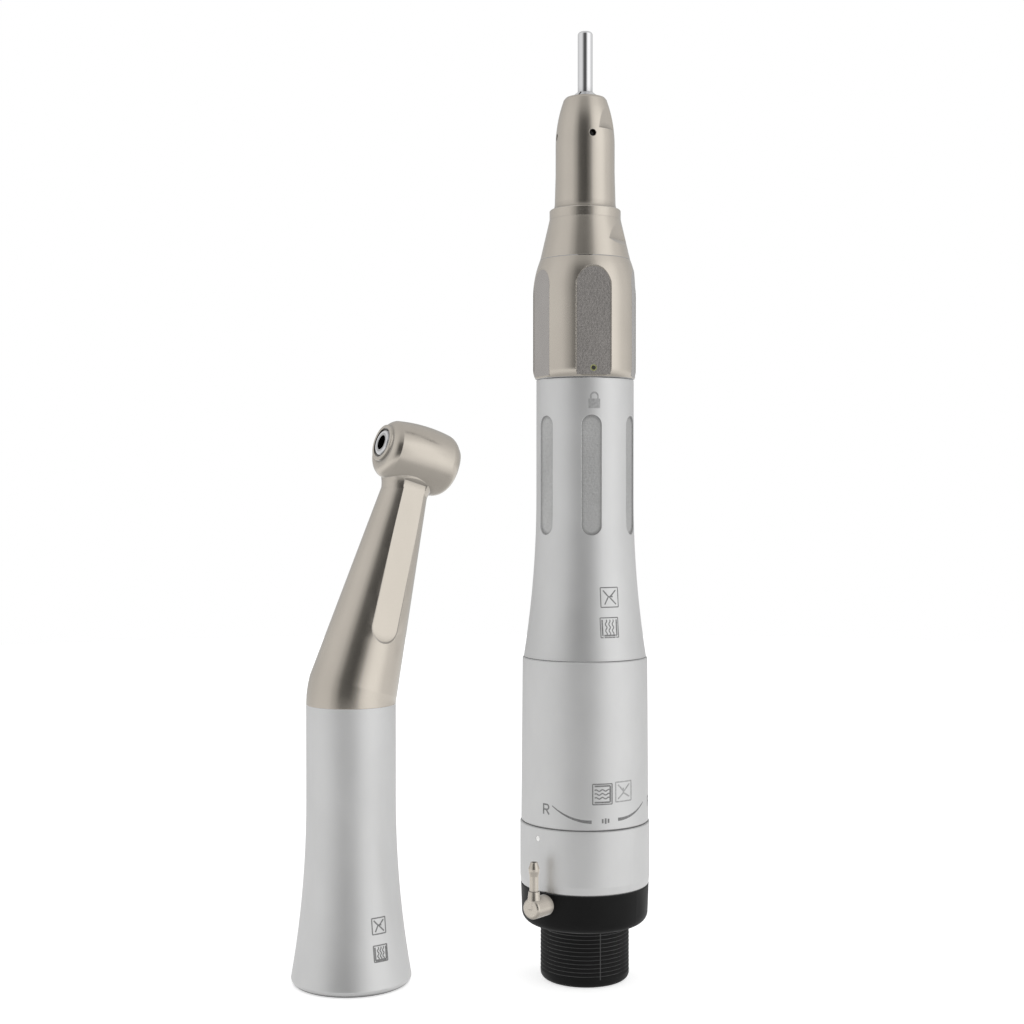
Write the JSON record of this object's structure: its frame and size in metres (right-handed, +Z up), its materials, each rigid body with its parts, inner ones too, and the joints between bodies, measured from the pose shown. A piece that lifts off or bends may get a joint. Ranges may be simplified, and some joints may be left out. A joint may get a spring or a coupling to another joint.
{
  "type": "low-speed dental handpiece set",
  "caption": "Air-driven low-speed dental motor with a straight handpiece fitted and a separate contra-angle handpiece standing beside it.",
  "frame": {"origin": "centre of the motor's rear end face, on the motor axis", "axes": "+Z up the motor axis from the hose connector to the bur, -Y to the front, +X to the right with the contra-angle standing on the -X side"},
  "size_m": [0.0564, 0.022, 0.1491],
  "materials": {
    "silver_casing": "satin anodised",
    "titan_grey": "satin warm grey plating",
    "black_plastic": "semi-matte moulded",
    "ground_steel": "ground",
    "polished_bur": "polished",
    "seal_rubber": "moulded",
    "brass_inner": "turned",
    "spring_wire": "drawn wire",
    "vane_composite": "phenolic laminate"
  },
  "bodies": {
    "motor": {"hose_connector": "black_plastic", "hose_gasket": "seal_rubber", "rear_cap": "black_plastic", "spray_elbow": "titan_grey", "spray_nipple": "titan_grey", "valve_housing": "brass_inner", "detent_ball": "ground_steel", "detent_spring": "spring_wire", "motor_sleeve": "silver_casing", "rear_plate": "ground_steel", "stator_liner": "ground_steel", "front_plate": "ground_steel", "motor_nose": "ground_steel", "nose_o_rings": "seal_rubber", "motor_bearing_outers": "ground_steel", "motor_bearing_balls": "ground_steel"},
    "direction_ring": {"direction_ring": "silver_casing", "valve_plate": "brass_inner", "ring_key": "ground_steel"},
    "rotor": {"rotor": "ground_steel", "vanes": "vane_composite", "drive_fork": "ground_steel", "motor_bearing_inners": "ground_steel"},
    "retaining_clip": {"retaining_clip": "spring_wire"},
    "straight_handpiece": {"straight_sheath": "silver_casing", "coupling_sleeve": "brass_inner", "inner_barrel": "ground_steel", "front_cone": "titan_grey", "nose_piece": "titan_grey", "dust_seal": "seal_rubber", "bearing_spacer": "ground_steel", "spindle_bearing_outers": "ground_steel", "spindle_bearing_balls": "ground_steel"},
    "lock_ring": {"lock_ring": "titan_grey"},
    "release_sleeve": {"release_sleeve": "brass_inner", "cam_pins": "ground_steel"},
    "spindle": {"spindle": "ground_steel", "spindle_bearing_inners": "ground_steel", "collet_spring": "spring_wire"},
    "collet": {"collet": "polished_bur"},
    "bur": {"bur_blank": "polished_bur"},
    "contra_angle": {"contra_sheath": "silver_casing", "contra_coupling": "brass_inner", "contra_neck": "titan_grey", "head_back_cap": "titan_grey", "contra_bearing_outers": "ground_steel", "contra_bearing_balls": "ground_steel"},
    "contra_drive": {"contra_drive_shaft": "ground_steel", "contra_drive_gear": "ground_steel", "contra_drive_bearing_inners": "ground_steel"},
    "contra_neck_drive": {"contra_neck_shaft": "ground_steel", "contra_bend_gear": "ground_steel", "contra_pinion": "ground_steel", "contra_neck_bearing_inners": "ground_steel"},
    "contra_head_rotor": {"contra_head_gear": "ground_steel", "contra_head_tube": "polished_bur", "contra_chuck": "ground_steel", "contra_head_bearing_inners": "ground_steel"},
    "push_button": {"push_button": "titan_grey", "button_spring": "spring_wire"}
  },
  "joints": [
    {"name": "direction_ring_turn", "type": "hinge", "parent": "motor", "child": "direction_ring", "pos_m": [0, 0, 0.02], "axis": [0, 0, 1], "range_deg": [0, 116]},
    {"name": "rotor_spin", "type": "hinge", "parent": "motor", "child": "rotor", "pos_m": [0, 0, 0.036], "axis": [0, 0, 1], "continuous": true},
    {"name": "spindle_slide", "type": "slide", "parent": "rotor", "child": "spindle", "axis": [0, 0, 1], "range_m": [0, 0.028]},
    {"name": "collet_slide", "type": "slide", "parent": "spindle", "child": "collet", "axis": [0, 0, 1], "range_m": [0, 0.00080001]},
    {"name": "bur_pull", "type": "slide", "parent": "collet", "child": "bur", "axis": [0, 0, 1], "range_m": [0, 0.036]},
    {"name": "handpiece_swivel", "type": "hinge", "parent": "motor", "child": "retaining_clip", "pos_m": [0, 0, 0.0603], "axis": [0, 0, 1], "continuous": true},
    {"name": "handpiece_pull", "type": "slide", "parent": "retaining_clip", "child": "straight_handpiece", "axis": [0, 0, 1], "range_m": [0, 0.028]},
    {"name": "lock_ring_turn", "type": "hinge", "parent": "straight_handpiece", "child": "lock_ring", "pos_m": [0, 0, 0.104], "axis": [0, 0, 1], "range_deg": [0, 45]},
    {"name": "release_sleeve_slide", "type": "slide", "parent": "straight_handpiece", "child": "release_sleeve", "axis": [0, 0, 1], "range_m": [0, 0.0012]},
    {"name": "contra_lift", "type": "slide", "parent": "motor", "child": "contra_angle", "axis": [0, 0, 1], "range_m": [0, 0.1]},
    {"name": "contra_drive_spin", "type": "hinge", "parent": "contra_angle", "child": "contra_drive", "pos_m": [-0.03675, -0.0024, 0.03], "axis": [0, 0, 1], "continuous": true},
    {"name": "contra_neck_spin", "type": "hinge", "parent": "contra_angle", "child": "contra_neck_drive", "pos_m": [-0.03188, 0.00053, 0.06418], "axis": [0.2434, 0.1463, 0.9588], "continuous": true},
    {"name": "contra_head_spin", "type": "hinge", "parent": "contra_angle", "child": "contra_head_rotor", "pos_m": [-0.02713, 0.00338, 0.08287], "axis": [-0.8219, -0.4938, 0.284], "continuous": true},
    {"name": "push_button_press", "type": "slide", "parent": "contra_angle", "child": "push_button", "axis": [-0.8219, -0.4938, 0.284], "range_m": [0, 0.0008], "stiffness_N_per_m": 2000}
  ],
  "couplings": [
    {"joint": "spindle_slide", "follows": "handpiece_pull", "ratio": 1},
    {"joint": "collet_slide", "follows": "lock_ring_turn", "m_per_rad": 0.0010186},
    {"joint": "release_sleeve_slide", "follows": "lock_ring_turn", "m_per_rad": 0.0015279},
    {"joint": "contra_neck_spin", "follows": "contra_drive_spin", "ratio": 1},
    {"joint": "contra_head_spin", "follows": "contra_drive_spin", "ratio": 1}
  ]
}
